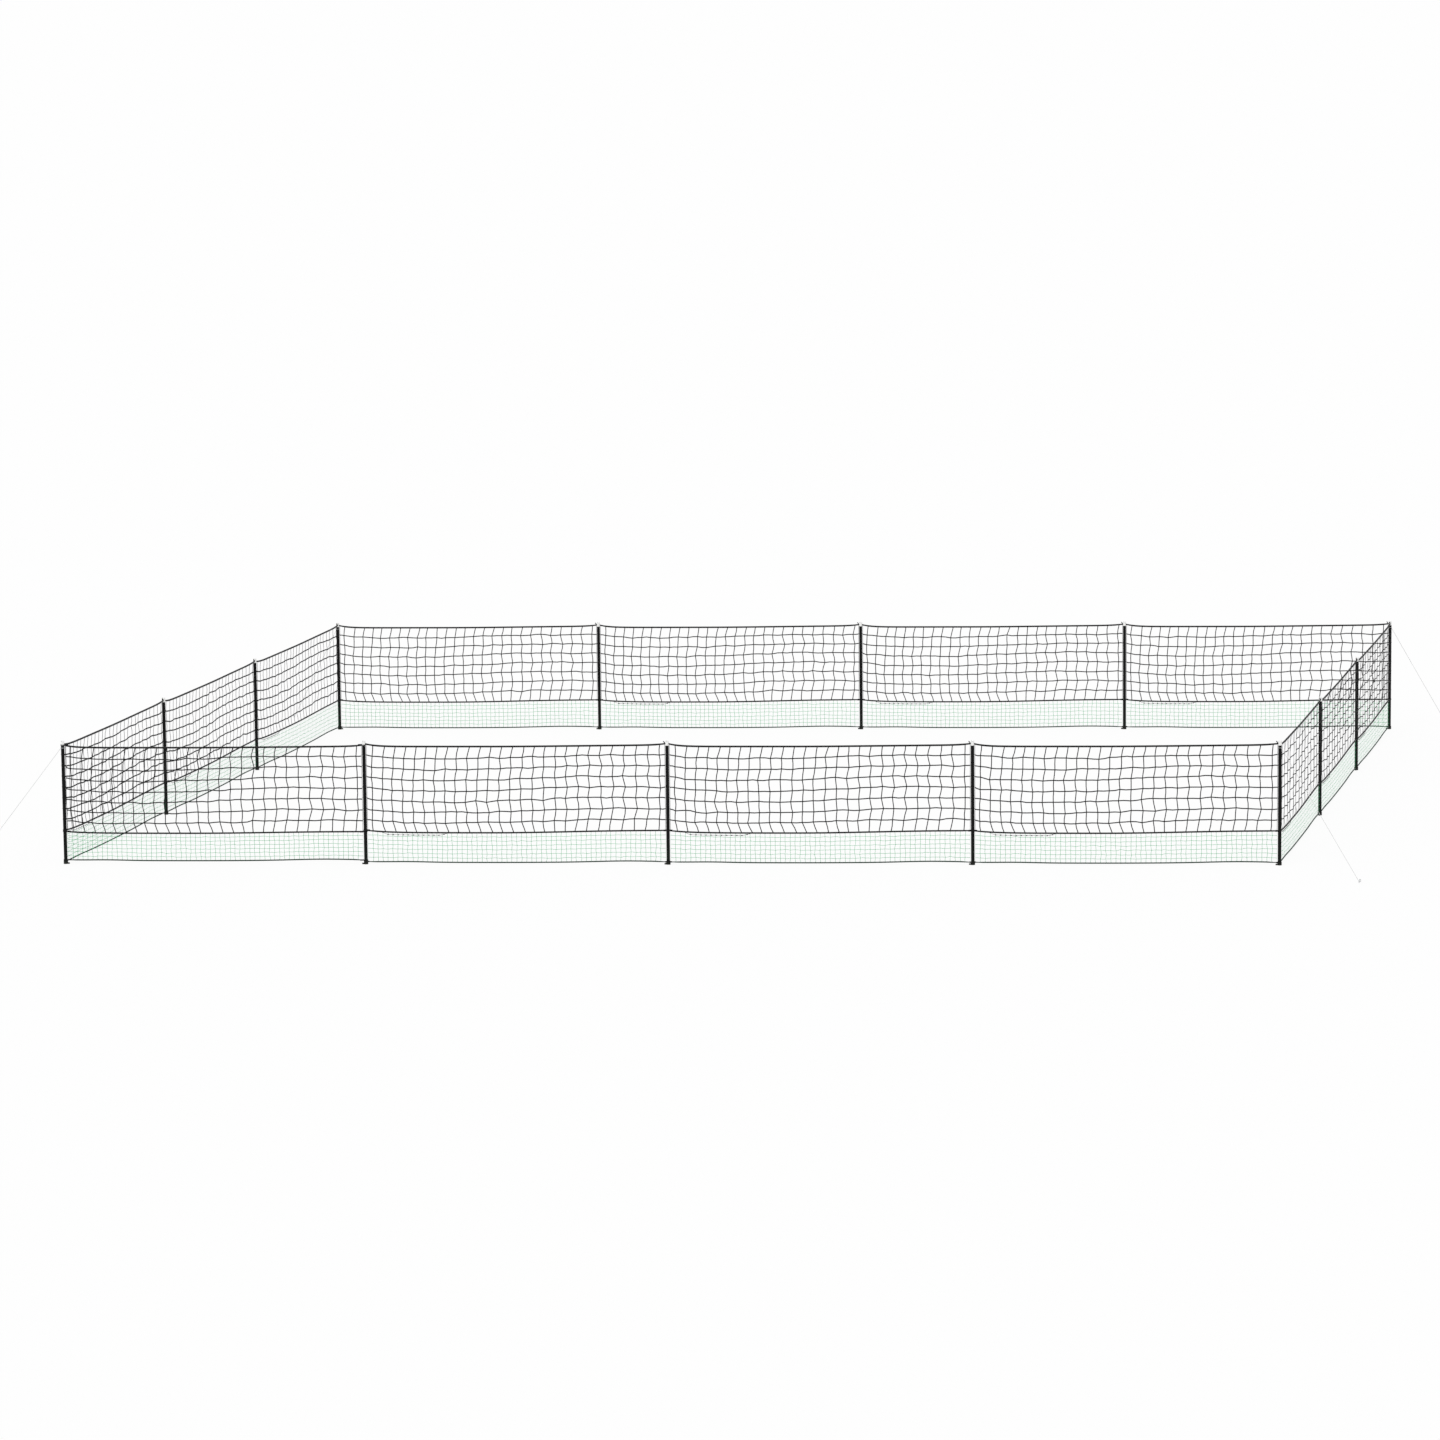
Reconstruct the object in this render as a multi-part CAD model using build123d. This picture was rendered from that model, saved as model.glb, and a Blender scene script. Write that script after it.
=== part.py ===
from build123d import *
import os
from math import atan2, cos, degrees, hypot, radians, sin, sqrt

# Poultry netting fence: a four sided pen of posts with one bay of netting between each two posts.
# The origin is on the axis of the front left corner post, at ground level.
# X runs along the front of the pen, Y runs to its back, and Z is up. All sizes are in millimetres.
# The pen is staked a little out of square: its sides turn from the front by side_turn, in degrees.

# Pen
bay_pitch = 3225.0
front_bays = 4
side_bays = 3
side_turn = 80.0
fit_gap = 0.3

# Post tubes
tube_radius = 19.0
tube_wall = 2.0
post_top = 1277.0

# Crown caps that carry the top rope
cap_base = 12.5
cap_height = 50.0
cap_plug_depth = 30.0
crown_wall = 5.0
crown_taper = 1.5
crown_taper_height = 10.0
crown_notch = 9.0
slot_floor_gap = 0.8

# Boots, spikes and the bushes that hold the spikes
boot_wall = 4.2
boot_floor = 4.0
boot_height = 36.0
step_reach = 18.0
step_width = 16.0
step_height = 14.0
boot_socket_wall = 2.2
boot_socket_length = 12.0
spike_radius = 4.0
spike_length = 200.0
spike_tip = 15.0
tang_radius = 5.0
tang_length = 44.0
bush_top = 6.0

# Ropes: height at the posts, sag at the middle of a bay, radius
top_rope_radius = 8.5
top_rope_sag = 29.0
mid_rope_height = 366.0
mid_rope_radius = 7.5
mid_rope_sag = 16.0
bottom_rope_height = 28.0
bottom_rope_radius = 5.0
bottom_rope_sag = 8.0

# Clips that hold the middle rope to the posts
clip_wall = 3.5
clip_height = 12.0
clip_socket_wall = 1.7
clip_socket_length = 24.0
socket_floor = 1.0

# Netting: wide black mesh above the middle rope, close green mesh below it
upper_strand = 9.0
upper_thickness = 4.0
upper_columns = 28
upper_rows = 8
upper_margin = 74.0
upper_skew = 0.1
lower_strand = 4.0
lower_thickness = 1.2
lower_columns = 42
lower_rows = 6
end_draw = 6.0
end_draw_reach = 60.0
tie_radius = 2.0

# Gate: the bay between the first two posts, which turns about the second post
gate_clear = 1.2
gate_band_wall = 4.0
gate_band_height = 8.0
ferrule_wall = 1.7
ferrule_clear = 1.0
ferrule_length = 38.0
hook_leg = 9.0

# Guy lines and their ground pegs, with each peg's outward distance from its corner post
guy_radius = 2.0
guy_height = 1252.0
guy_spread = {
    "front_left": (-930.0, -720.0),
    "front_right": (780.0, -1045.0),
    "back_right": (705.0, 970.0),
    "back_left": (-700.0, 970.0),
}
peg_radius = 3.0
peg_depth = 170.0
peg_rise = 35.0
peg_tip = 12.0
peg_hook_radius = 10.0
peg_hook_leg = 14.0
peg_lean = 15.0
peg_loop_rise = 14.0
peg_loop_gap = 0.5

# Sizes that follow from those above
pen_width = front_bays * bay_pitch
side_step = (bay_pitch * cos(radians(side_turn)), bay_pitch * sin(radians(side_turn)))
back_shift = side_bays * side_step[0]
pen_depth = side_bays * side_step[1]
tube_bore = tube_radius - tube_wall
slot_floor = post_top + cap_base
top_rope_height = slot_floor + slot_floor_gap + top_rope_radius
boot_radius = tube_radius + fit_gap + boot_wall
clip_radius = tube_radius + fit_gap + clip_wall
gate_band_radius = tube_radius + fit_gap + gate_band_wall
net_end = tube_radius + 2 * fit_gap + 2 * max(tie_radius, guy_radius)
boot_socket_radius = bottom_rope_radius + fit_gap + boot_socket_wall
clip_socket_radius = mid_rope_radius + fit_gap + clip_socket_wall
step_end = boot_radius + step_reach
mid_rope_setback = clip_radius + socket_floor + fit_gap
bottom_rope_setback = boot_radius + socket_floor + fit_gap
gate_rope_setback = gate_band_radius + socket_floor + fit_gap
gate_net_end = net_end + gate_clear
gate_top_height = post_top + cap_base / 2
gate_mid_height = mid_rope_height - clip_height / 2 - 2 * fit_gap - mid_rope_radius - ferrule_wall
boot_rise = max(boot_height, bottom_rope_height + boot_socket_radius)
gate_bottom_height = boot_rise + ferrule_clear + fit_gap + bottom_rope_radius + ferrule_wall

os.makedirs("parts", exist_ok=True)


def write(node, solids):
    """Writes one node, made of one solid or of several that stand apart."""
    shape = solids[0] if len(solids) == 1 else Compound(solids)
    export_step(shape, f"parts/{node}.step", write_pcurves=False)


def post_places():
    """The post axes in order around the pen, starting at the front left corner."""
    front = [(k * bay_pitch, 0.0) for k in range(front_bays + 1)]
    right = [(pen_width + k * side_step[0], k * side_step[1]) for k in range(1, side_bays)]
    back = [(back_shift + k * bay_pitch, pen_depth) for k in range(front_bays, -1, -1)]
    left = [(k * side_step[0], k * side_step[1]) for k in range(side_bays - 1, 0, -1)]
    return front + right + back + left


def bearing(start, end):
    """The direction from one post to another, in degrees from +X."""
    return degrees(atan2(end[1] - start[1], end[0] - start[0]))


def at(place, turn=0.0):
    return Location((place[0], place[1], 0), (0, 0, turn))


def rod(start, end, radius):
    """A round rod between two points."""
    start = Vector(start)
    run = Vector(end) - start
    return Plane(start, z_dir=run) * Pos(0, 0, run.length / 2) * Cylinder(radius, run.length)


def upright(radius, low, high):
    return Pos(0, 0, (low + high) / 2) * Cylinder(radius, high - low)


def only_solid(shape):
    return shape.solids()[0]


# Posts
posts = post_places()
to_next = [bearing(posts[i], posts[(i + 1) % len(posts)]) for i in range(len(posts))]
to_previous = [bearing(posts[i], posts[i - 1]) for i in range(len(posts))]
tube = upright(tube_radius, boot_floor, post_top) - upright(tube_bore, boot_floor, post_top)
for i, place in enumerate(posts):
    write(f"post_{i + 1:02d}", [only_solid(at(place) * tube)])


def crown_cap(directions):
    """A cap with a plug in the tube and a notched crown, with a rope slot in each direction."""
    top = post_top + cap_height
    shoulder = top - crown_taper_height
    cup = tube_radius - crown_wall
    profile = Polyline(
        (0, post_top - cap_plug_depth),
        (tube_bore - fit_gap, post_top - cap_plug_depth),
        (tube_bore - fit_gap, post_top),
        (tube_radius, post_top),
        (tube_radius, shoulder),
        (tube_radius - crown_taper, top),
        (cup + crown_taper, top),
        (cup, shoulder),
        (cup, slot_floor),
        (0, slot_floor),
        close=True,
    )
    cap = revolve(Plane.XZ * make_face(profile), Axis.Z)
    slot_width = 2 * (top_rope_radius + fit_gap)
    notch = Pos(0, 0, top) * Box(3 * tube_radius, slot_width, 2 * crown_notch)
    slot = Pos(tube_radius, 0, top) * Box(2 * tube_radius, slot_width, 2 * (top - slot_floor))
    cap = cap - notch - Rot(0, 0, side_turn) * notch
    for turn in directions:
        cap -= Rot(0, 0, turn) * slot
    return only_solid(cap)


# Steps point left along the front and back rows, but right on the first posts, and forward on the right
step_turns = list(to_previous)
step_turns[0] = to_next[0]
for i in range(front_bays + side_bays, 2 * front_bays + side_bays):
    step_turns[i] = to_next[i]

# The gate's ropes have their own fittings, so at the gate a post holds a rope on its other side alone
rope_turns = [[before, after] for before, after in zip(to_previous, to_next)]
rope_turns[0].remove(to_next[0])
rope_turns[1].remove(to_previous[1])
write("post_caps", [at(place) * crown_cap(turns) for place, turns in zip(posts, rope_turns)])


def boot(step_turn, directions):
    """A cup under the tube, with a step on one side and a rope socket in each direction."""
    step_run = step_end - step_width / 2
    step = Pos(step_run / 2, 0, step_height / 2) * Box(step_run, step_width, step_height)
    toe = Pos(step_run, 0, step_height / 2) * Cylinder(step_width / 2, step_height)
    body = upright(boot_radius, 0, boot_height) + Rot(0, 0, step_turn) * (step + toe)
    mouth = boot_radius + boot_socket_length
    floor = boot_radius + socket_floor
    for turn in directions:
        ends = [(x, 0, bottom_rope_height) for x in (tube_radius, floor, mouth)]
        body += Rot(0, 0, turn) * rod(ends[0], ends[2], boot_socket_radius)
        body -= Rot(0, 0, turn) * rod(ends[1], ends[2], bottom_rope_radius + 2 * fit_gap)
    body -= upright(tube_radius + fit_gap, boot_floor, 2 * boot_rise)
    return only_solid(body - upright(tang_radius + fit_gap, 0, boot_floor))


def spike():
    """A pointed steel spike whose thicker tang is held inside the tube."""
    shank = upright(spike_radius, spike_tip - spike_length, 0)
    point = Pos(0, 0, spike_tip / 2 - spike_length) * Cone(spike_radius / 8, spike_radius, spike_tip)
    return only_solid(shank + point + upright(tang_radius, 0, tang_length))


def spike_bush():
    """A plug inside the foot of the tube, with a blind bore for the spike's tang."""
    plug = upright(tube_bore - fit_gap, boot_floor, tang_length + bush_top)
    return only_solid(plug - upright(tang_radius + fit_gap, boot_floor, tang_length))


one_spike = spike()
one_bush = spike_bush()
boots = [boot(step_turn, turns) for step_turn, turns in zip(step_turns, rope_turns)]
write("post_boots", [at(place) * body for place, body in zip(posts, boots)])
write("ground_spikes", [at(place) * one_spike for place in posts])
write("spike_bushes", [at(place) * one_bush for place in posts])


def hang(height, sag):
    """The height of a hanging rope along a bay, as an arc between two posts."""
    radius = (bay_pitch * bay_pitch / 4 + sag * sag) / (2 * sag)
    return lambda x: height - sag + radius - sqrt(radius * radius - (x - bay_pitch / 2) ** 2)


def rope_span(line, radius, start, end):
    """A rope along one bay, from start to end as measured along X from the first post's axis."""
    middle = (start + end) / 2
    path = ThreePointArc((start, 0, line(start)), (middle, 0, line(middle)), (end, 0, line(end)))
    section = Plane(path @ 0, z_dir=path % 0) * Circle(radius)
    return only_solid(sweep(section, path))


top_line = hang(top_rope_height, top_rope_sag)
mid_line = hang(mid_rope_height, mid_rope_sag)
bottom_line = hang(bottom_rope_height, bottom_rope_sag)
side_steps = [(k * side_step[0], k * side_step[1]) for k in range(side_bays)]
sides = {
    "front": [at((k * bay_pitch, 0)) for k in range(1, front_bays)],
    "right": [at((pen_width + x, y), side_turn) for x, y in side_steps],
    "back": [at((back_shift + k * bay_pitch, pen_depth)) for k in range(front_bays)],
    "left": [at((x, y), side_turn) for x, y in side_steps],
}

# At a corner the front or back rope stops short of the side's rope, which runs through the cap
off_square = radians(90 - side_turn)
corner_setback = (top_rope_radius * (1 + abs(sin(off_square))) + fit_gap) / cos(off_square)
for side, bays in sides.items():
    top_spans = []
    for number, bay in enumerate(bays):
        at_left_corner = side == "back" and number == 0
        at_right_corner = side in ("front", "back") and number == len(bays) - 1
        start = corner_setback if at_left_corner else fit_gap
        end = bay_pitch - (corner_setback if at_right_corner else fit_gap)
        top_spans.append(bay * rope_span(top_line, top_rope_radius, start, end))
    mid_span = rope_span(mid_line, mid_rope_radius, mid_rope_setback, bay_pitch - mid_rope_setback)
    bottom_end = bay_pitch - bottom_rope_setback
    bottom_span = rope_span(bottom_line, bottom_rope_radius, bottom_rope_setback, bottom_end)
    write(f"{side}_top_rope", top_spans)
    write(f"{side}_mid_rope", [bay * mid_span for bay in bays])
    write(f"{side}_bottom_rope", [bay * bottom_span for bay in bays])


def rope_clip(directions):
    """A band round the post, with a socket for the end of the middle rope in each direction."""
    low = mid_rope_height - clip_height / 2
    high = mid_rope_height + clip_height / 2
    band = upright(clip_radius, low, high)
    mouth = clip_radius + clip_socket_length
    floor = clip_radius + socket_floor
    for turn in directions:
        ends = [(x, 0, mid_line(x)) for x in (tube_radius, floor, mouth)]
        band += Rot(0, 0, turn) * rod(ends[0], ends[2], clip_socket_radius)
        band -= Rot(0, 0, turn) * rod(ends[1], ends[2], mid_rope_radius + fit_gap)
    return only_solid(band - upright(tube_radius + fit_gap, low - clip_height, high + clip_height))


write("rope_clips", [at(place) * rope_clip(turns) for place, turns in zip(posts, rope_turns)])


def drawn_in(x, end):
    """How far the netting's edges draw in beside a post."""
    from_end = min(x, bay_pitch - x) - end
    return end_draw * max(0.0, 1 - max(0.0, from_end) / end_draw_reach)


def edge_above(line, radius, end):
    return lambda x: line(x) + radius + fit_gap + drawn_in(x, end)


def edge_below(line, radius, end):
    return lambda x: line(x) - radius - fit_gap - drawn_in(x, end)


def strand_height(x, k, rows, strand, low, high):
    """The height of the middle of the strand number k, counted from the lower edge."""
    return low(x) + strand / 2 + (high(x) - low(x) - strand) * k / rows


def net_panel(lines, rows, strand, thickness, low, high):
    """One flat net: a face with a hole for each gap between strands, given the strand's width and thickness."""
    half = strand / 2
    back = -thickness / 2
    ends = [lines[0] - half] + lines[1:-1] + [lines[-1] + half]
    outline = [(x, back, low(x)) for x in ends] + [(x, back, high(x)) for x in reversed(ends)]
    holes = []
    for left, right in zip(lines, lines[1:]):
        for k in range(rows):
            corners = []
            for x, row, lift in (
                (left + half, k, half),
                (right - half, k, half),
                (right - half, k + 1, -half),
                (left + half, k + 1, -half),
            ):
                corners.append((x, back, strand_height(x, row, rows, strand, low, high) + lift))
            holes.append(Wire.make_polygon(corners, close=True))
    face = Face(Wire.make_polygon(outline, close=True), holes)
    return Solid.extrude(face, (0, thickness, 0))


def upper_lines(end):
    """Places of the upright strands of the black mesh, a little closer together at one end of a bay."""
    room = bay_pitch - 2 * upper_margin
    count = upper_columns - 2
    steps = [k / count for k in range(count + 1)]
    middle = [upper_margin + room * (t * (1 - upper_skew) + t * t * upper_skew) for t in steps]
    return [end + upper_strand / 2] + middle + [bay_pitch - end - upper_strand / 2]


def lower_lines(end):
    """Places of the upright strands of the green mesh, evenly spaced."""
    first = end + lower_strand / 2
    pitch = (bay_pitch - 2 * first) / lower_columns
    return [first + k * pitch for k in range(lower_columns + 1)]


def bay_nets(end, top, mid, bottom):
    """The black and the green net of one bay, between its three ropes."""
    upper_low = edge_above(mid, mid_rope_radius, end)
    upper_high = edge_below(top, top_rope_radius, end)
    lower_low = edge_above(bottom, bottom_rope_radius, end)
    lower_high = edge_below(mid, mid_rope_radius, end)
    upper = net_panel(upper_lines(end), upper_rows, upper_strand, upper_thickness, upper_low, upper_high)
    lower = net_panel(lower_lines(end), lower_rows, lower_strand, lower_thickness, lower_low, lower_high)
    return upper, lower


upper_net, lower_net = bay_nets(net_end, top_line, mid_line, bottom_line)
for side, bays in sides.items():
    write(f"{side}_upper_net", [bay * upper_net for bay in bays])
    write(f"{side}_lower_net", [bay * lower_net for bay in bays])

# Cord rings that tie each level strand of the black mesh to the posts
tie_low = edge_above(mid_line, mid_rope_radius, net_end)
tie_high = edge_below(top_line, top_rope_radius, net_end)
tie = Torus(tube_radius + fit_gap + tie_radius, tie_radius)
ties = []
for place in posts:
    for k in range(1, upper_rows):
        height = strand_height(net_end, k, upper_rows, upper_strand, tie_low, tie_high)
        ties.append(only_solid(at(place) * Pos(0, 0, height) * tie))
write("strand_ties", ties)


def gate_band(height, hooked):
    """The band round a post at one end of a gate rope: a closed eye, or a hook that is open at the back."""
    low = height - gate_band_height / 2
    high = height + gate_band_height / 2
    band = upright(gate_band_radius, low, high)
    if hooked:
        back = Pos(0, gate_band_radius, height)
        band -= back * Box(3 * gate_band_radius, 2 * gate_band_radius, 2 * gate_band_height)
        leg = Pos(gate_band_wall / 2 - gate_band_radius, hook_leg / 2, height)
        band += leg * Box(gate_band_wall, hook_leg, gate_band_height)
    return band


def gate_fitting(line, radius, hooked):
    """An eye or hook with the ferrule that grips the end of a gate rope, on a post at x = 0."""
    height = line(0)
    band = gate_band(height, hooked)
    root = (tube_radius + fit_gap + gate_band_wall / 2, gate_band_radius + socket_floor)
    mouth = gate_band_radius + ferrule_length
    ends = [(x, 0, line(x)) for x in (root[0], root[1], mouth)]
    band += rod(ends[0], ends[2], radius + fit_gap + ferrule_wall)
    band -= rod(ends[1], ends[2], radius + fit_gap)
    return only_solid(band - upright(tube_radius + fit_gap, 0, 2 * post_top))


# The gate
gate_top_line = hang(gate_top_height, top_rope_sag)
gate_mid_line = hang(gate_mid_height, mid_rope_sag)
gate_bottom_line = hang(gate_bottom_height, bottom_rope_sag)
gate_ropes = {
    "gate_top_rope": (gate_top_line, top_rope_radius),
    "gate_mid_rope": (gate_mid_line, mid_rope_radius),
    "gate_bottom_rope": (gate_bottom_line, bottom_rope_radius),
}
for node, (line, radius) in gate_ropes.items():
    write(node, [rope_span(line, radius, gate_rope_setback, bay_pitch - gate_rope_setback)])
hinge_post = at(posts[1], 180)
write("gate_hooks", [gate_fitting(line, radius, True) for line, radius in gate_ropes.values()])
eyes = [gate_fitting(line, radius, False) for line, radius in gate_ropes.values()]
write("gate_eyes", [hinge_post * eye for eye in eyes])
gate_upper, gate_lower = bay_nets(gate_net_end, gate_top_line, gate_mid_line, gate_bottom_line)
write("gate_upper_net", [gate_upper])
write("gate_lower_net", [gate_lower])


def guy_pieces(run):
    """A taut line from post to peg, with a loop round each. X points from the post to the peg."""
    post_ring = tube_radius + fit_gap + guy_radius
    peg_ring = peg_radius + peg_loop_gap + guy_radius
    lean = radians(peg_lean)
    eye = (run + peg_loop_rise * sin(lean), 0, peg_loop_rise * cos(lean))
    grip = (eye[0] - peg_ring * cos(lean), 0, eye[2] + peg_ring * sin(lean))
    fall = atan2(guy_height - grip[2], grip[0] - post_ring)
    clear = guy_radius + fit_gap
    start = (post_ring + clear * cos(fall), 0, guy_height - clear * sin(fall))
    end = (grip[0] - clear * cos(fall), 0, grip[2] + clear * sin(fall))
    post_loop = Pos(0, 0, guy_height) * Torus(post_ring, guy_radius)
    peg_loop = Pos(*eye) * Rot(0, peg_lean, 0) * Torus(peg_ring, guy_radius)
    return rod(start, end, guy_radius), post_loop, peg_loop


def peg():
    """A hooked ground peg. Its shank is on Z and its hook points along X."""
    shank = Line((0, 0, peg_tip - peg_depth), (0, 0, peg_rise))
    hook_top = (peg_hook_radius, 0, peg_rise + peg_hook_radius)
    hook_end = (2 * peg_hook_radius, 0, peg_rise)
    hook = ThreePointArc((0, 0, peg_rise), hook_top, hook_end)
    leg = Line(hook_end, (2 * peg_hook_radius, 0, peg_rise - peg_hook_leg))
    body = sweep(Pos(0, 0, peg_tip - peg_depth) * Circle(peg_radius), shank + hook + leg)
    return body + Pos(0, 0, peg_tip / 2 - peg_depth) * Cone(peg_radius / 6, peg_radius, peg_tip)


corners = {
    "front_left": (0, 0),
    "front_right": (pen_width, 0),
    "back_right": (pen_width + back_shift, pen_depth),
    "back_left": (back_shift, pen_depth),
}
guy_loops = []
for corner, place in corners.items():
    spread = guy_spread[corner]
    heading = bearing((0, 0), spread)
    line, post_loop, peg_loop = guy_pieces(hypot(*spread))
    write(f"guy_line_{corner}", [only_solid(at(place, heading) * line)])
    guy_loops.append(only_solid(at(place, heading) * post_loop))
    guy_loops.append(only_solid(at(place, heading) * peg_loop))
    peg_place = (place[0] + spread[0], place[1] + spread[1])
    write(f"peg_{corner}", [only_solid(at(peg_place, heading) * Rot(0, peg_lean, 0) * peg())])
write("guy_loops", guy_loops)
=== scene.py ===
from math import atan2, cos, hypot, pi, radians, sin

import bpy
import numpy as np
from mathutils import Matrix, Vector


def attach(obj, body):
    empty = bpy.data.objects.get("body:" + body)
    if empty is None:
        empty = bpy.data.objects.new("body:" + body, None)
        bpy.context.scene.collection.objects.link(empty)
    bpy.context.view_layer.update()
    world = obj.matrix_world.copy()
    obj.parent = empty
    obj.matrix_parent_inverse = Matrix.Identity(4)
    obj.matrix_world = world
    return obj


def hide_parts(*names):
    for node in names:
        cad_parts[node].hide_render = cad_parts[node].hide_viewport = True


# Poultry netting fence: the netting, ropes and cords, the finish of every piece, the light and the camera.
# Sizes are in metres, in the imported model's frame. Its origin is on the front left post, at ground level.

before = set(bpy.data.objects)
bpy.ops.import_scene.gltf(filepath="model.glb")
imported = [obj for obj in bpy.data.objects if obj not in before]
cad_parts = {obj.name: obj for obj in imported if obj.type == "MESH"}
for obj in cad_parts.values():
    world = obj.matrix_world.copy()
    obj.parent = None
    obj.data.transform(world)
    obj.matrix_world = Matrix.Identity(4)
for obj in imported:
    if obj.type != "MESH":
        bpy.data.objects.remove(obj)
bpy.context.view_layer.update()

# Pen
BAY = 3.225
FRONT_BAYS = 4
SIDE_BAYS = 3
SIDE_TURN = radians(80)
PEN_WIDTH = FRONT_BAYS * BAY
SIDE_STEP = (BAY * cos(SIDE_TURN), BAY * sin(SIDE_TURN))
BACK_SHIFT = SIDE_BAYS * SIDE_STEP[0]
PEN_DEPTH = SIDE_BAYS * SIDE_STEP[1]
TUBE_RADIUS = 0.019
FIT_GAP = 0.0003

# Ropes: height at the posts, drop in the bay, radius at the posts and in the bay
TOP_ROPE = (1.2988, 0.034, 0.0085, 0.0098)
MID_ROPE = (0.366, 0.028, 0.0075, 0.0086)
BOTTOM_ROPE = (0.028, 0.009, 0.005, 0.0068)
GATE_TOP_ROPE = (1.28325, 0.030, 0.0085, 0.0098)
GATE_MID_ROPE = (0.3502, 0.020, 0.0075, 0.0086)
GATE_BOTTOM_ROPE = (0.044, 0.010, 0.005, 0.0068)

# How a rope leaves its first post, meets the next one and rises between them.
# The top rope is taut, and those lower than the height SOFT_BELOW are softer.
TAUT_HANG = (0.11, 0.12, 0.38)
SOFT_HANG = (0.22, 0.45, 0.85)
SOFT_BELOW = 1.0
RISE_SPAN = (0.42, 0.95)
FULL_AFTER = (0.05, 0.12)
ROPE_SIDES = 10
ROPE_STEP = 0.03

# Where the bottom rope lifts a little off the ground: place and width as shares of a bay, and height
LIFTED_BELOW = 0.1
LIFTS = ((0.14, 0.09, 0.007), (0.86, 0.13, 0.010))
LIFT_ENDS = 0.15

# The rope's short tail beside each cap: its radius and taper, how far off the tube it starts, how it leans,
# bows and rises
TAIL_RADIUS = 0.0055
TAIL_TAPER = (1.0, 1.0, 1.0, 1.0, 1.0, 0.95, 0.6)
TAIL_START = 0.006
TAIL_LEAN = (0.004, 0.012)
TAIL_BOW = 0.003
TAIL_RISE = 0.023

# Lacing of the two meshes, which hangs a little below the middle rope near one end of a bay
LACE_SPAN = (0.16, 0.92)
LACE_ENDS = (0.08, 0.14)
LACE_STEPS = 29
LACE_DROP = 0.027
LACE_RADIUS = 0.0018
LACE_KNOT = (0.0100, 0.004, 0.0065)

# Where ropes and nets end beside a post
TOP_SETBACK = 0.0003
MID_SETBACK = 0.0241
BOTTOM_SETBACK = 0.0248
GATE_SETBACK = 0.0246
NET_END = 0.0281
GATE_NET_END = 0.0293

# Black netting: its strands, its columns and rows, its knots, how far these stand out of line, and how much
# slimmer the strands beside the posts are
UPPER_RADIUS = 0.0050
UPPER_FLAT = 0.32
UPPER_SIDES = 8
UPPER_COLUMNS = 28
UPPER_ROWS = 8
UPPER_MARGIN = 0.080
UPPER_SKEW = 0.08
UPPER_KNOT = (0.0085, 0.0032, 0.0080)
UPPER_JITTER = 0.0045
UPPER_EDGE = 0.4
UPPER_TWINE = (UPPER_RADIUS, UPPER_FLAT, UPPER_SIDES, UPPER_KNOT, UPPER_JITTER, UPPER_EDGE)

# How it hangs in most bays and on two sides: fullness of level strands, depth of folds, looseness of knots
UPPER_DRAPE = (1.2, 0.0, 0.0014)
UPPER_DRAPES = {"right": (1.2, 0.008, 0.0020), "left": (1.5, 0.0, 0.0030)}
FOLD_CHANGE = 0.5
FOLD_TURN = 1.7
BOW_SHARE = 0.5

# How its columns sway: bellied and drawn in at the foot in the first part of a bay, then zigzag
FIRST_PART = (0.5, 0.72)
SWAY_ENDS = ((0.0, 0.08), (0.95, 1.0))
BELLY = 0.115
BELLY_LEVEL = 0.42
BELLY_BELOW = 0.5
BELLY_SHIFT = 0.006
FOOT_DRAW = 0.026
FOOT_ROWS = 1.2
FOOT_RETURN = 1.6
ZIGZAG = 0.0095
FIRST_ZIGZAG = 0.5
ROW_WAVE = 0.019

# Green netting, in the same terms
LOWER_RADIUS = 0.0020
LOWER_FLAT = 0.14
LOWER_SIDES = 6
LOWER_COLUMNS = 60
LOWER_ROWS = 7
LOWER_KNOT = (0.0032, 0.0009, 0.0032)
LOWER_JITTER = 0.0025
LOWER_EDGE = 0.3
LOWER_TWINE = (LOWER_RADIUS, LOWER_FLAT, LOWER_SIDES, LOWER_KNOT, LOWER_JITTER, LOWER_EDGE)
LOWER_DRAPE = (1.0, 0.0, 0.0008)

# Each bay of each side has its own random seed
FIRST_SEED = 1
SIDE_SEEDS = 10

# Ties on the posts
TIE_RADIUS = 0.002
TIE_SIDES = 6
RING_POINTS = 16

# Guy lines and pegs
GUY_RADIUS = 0.002
GUY_HEIGHT = 1.252
GUY_SAG = 0.005
GUY_SIDES = 6
CURVE_ORDER = 3
CURVE_STEPS = 12
CURVE_ROUND = 3
GUY_SPREAD = {
    "front_left": (-0.930, -0.720),
    "front_right": (0.780, -1.045),
    "back_right": (0.705, 0.970),
    "back_left": (-0.700, 0.970),
}
PEG_RADIUS = 0.003
PEG_LEAN = radians(15)
PEG_LOOP_RISE = 0.014
PEG_LOOP_GAP = 0.0005

# Camera, as fitted to the posts in the photograph
CAMERA_PLACE = (10.765, -57.401, 10.188)
CAMERA_YAW = radians(-3.739)
CAMERA_PITCH = radians(8.542)
CAMERA_ROLL = radians(-0.585)
CAMERA_LENS = 137.79
SENSOR = 36.0
CAMERA_REACH = 3000


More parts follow.
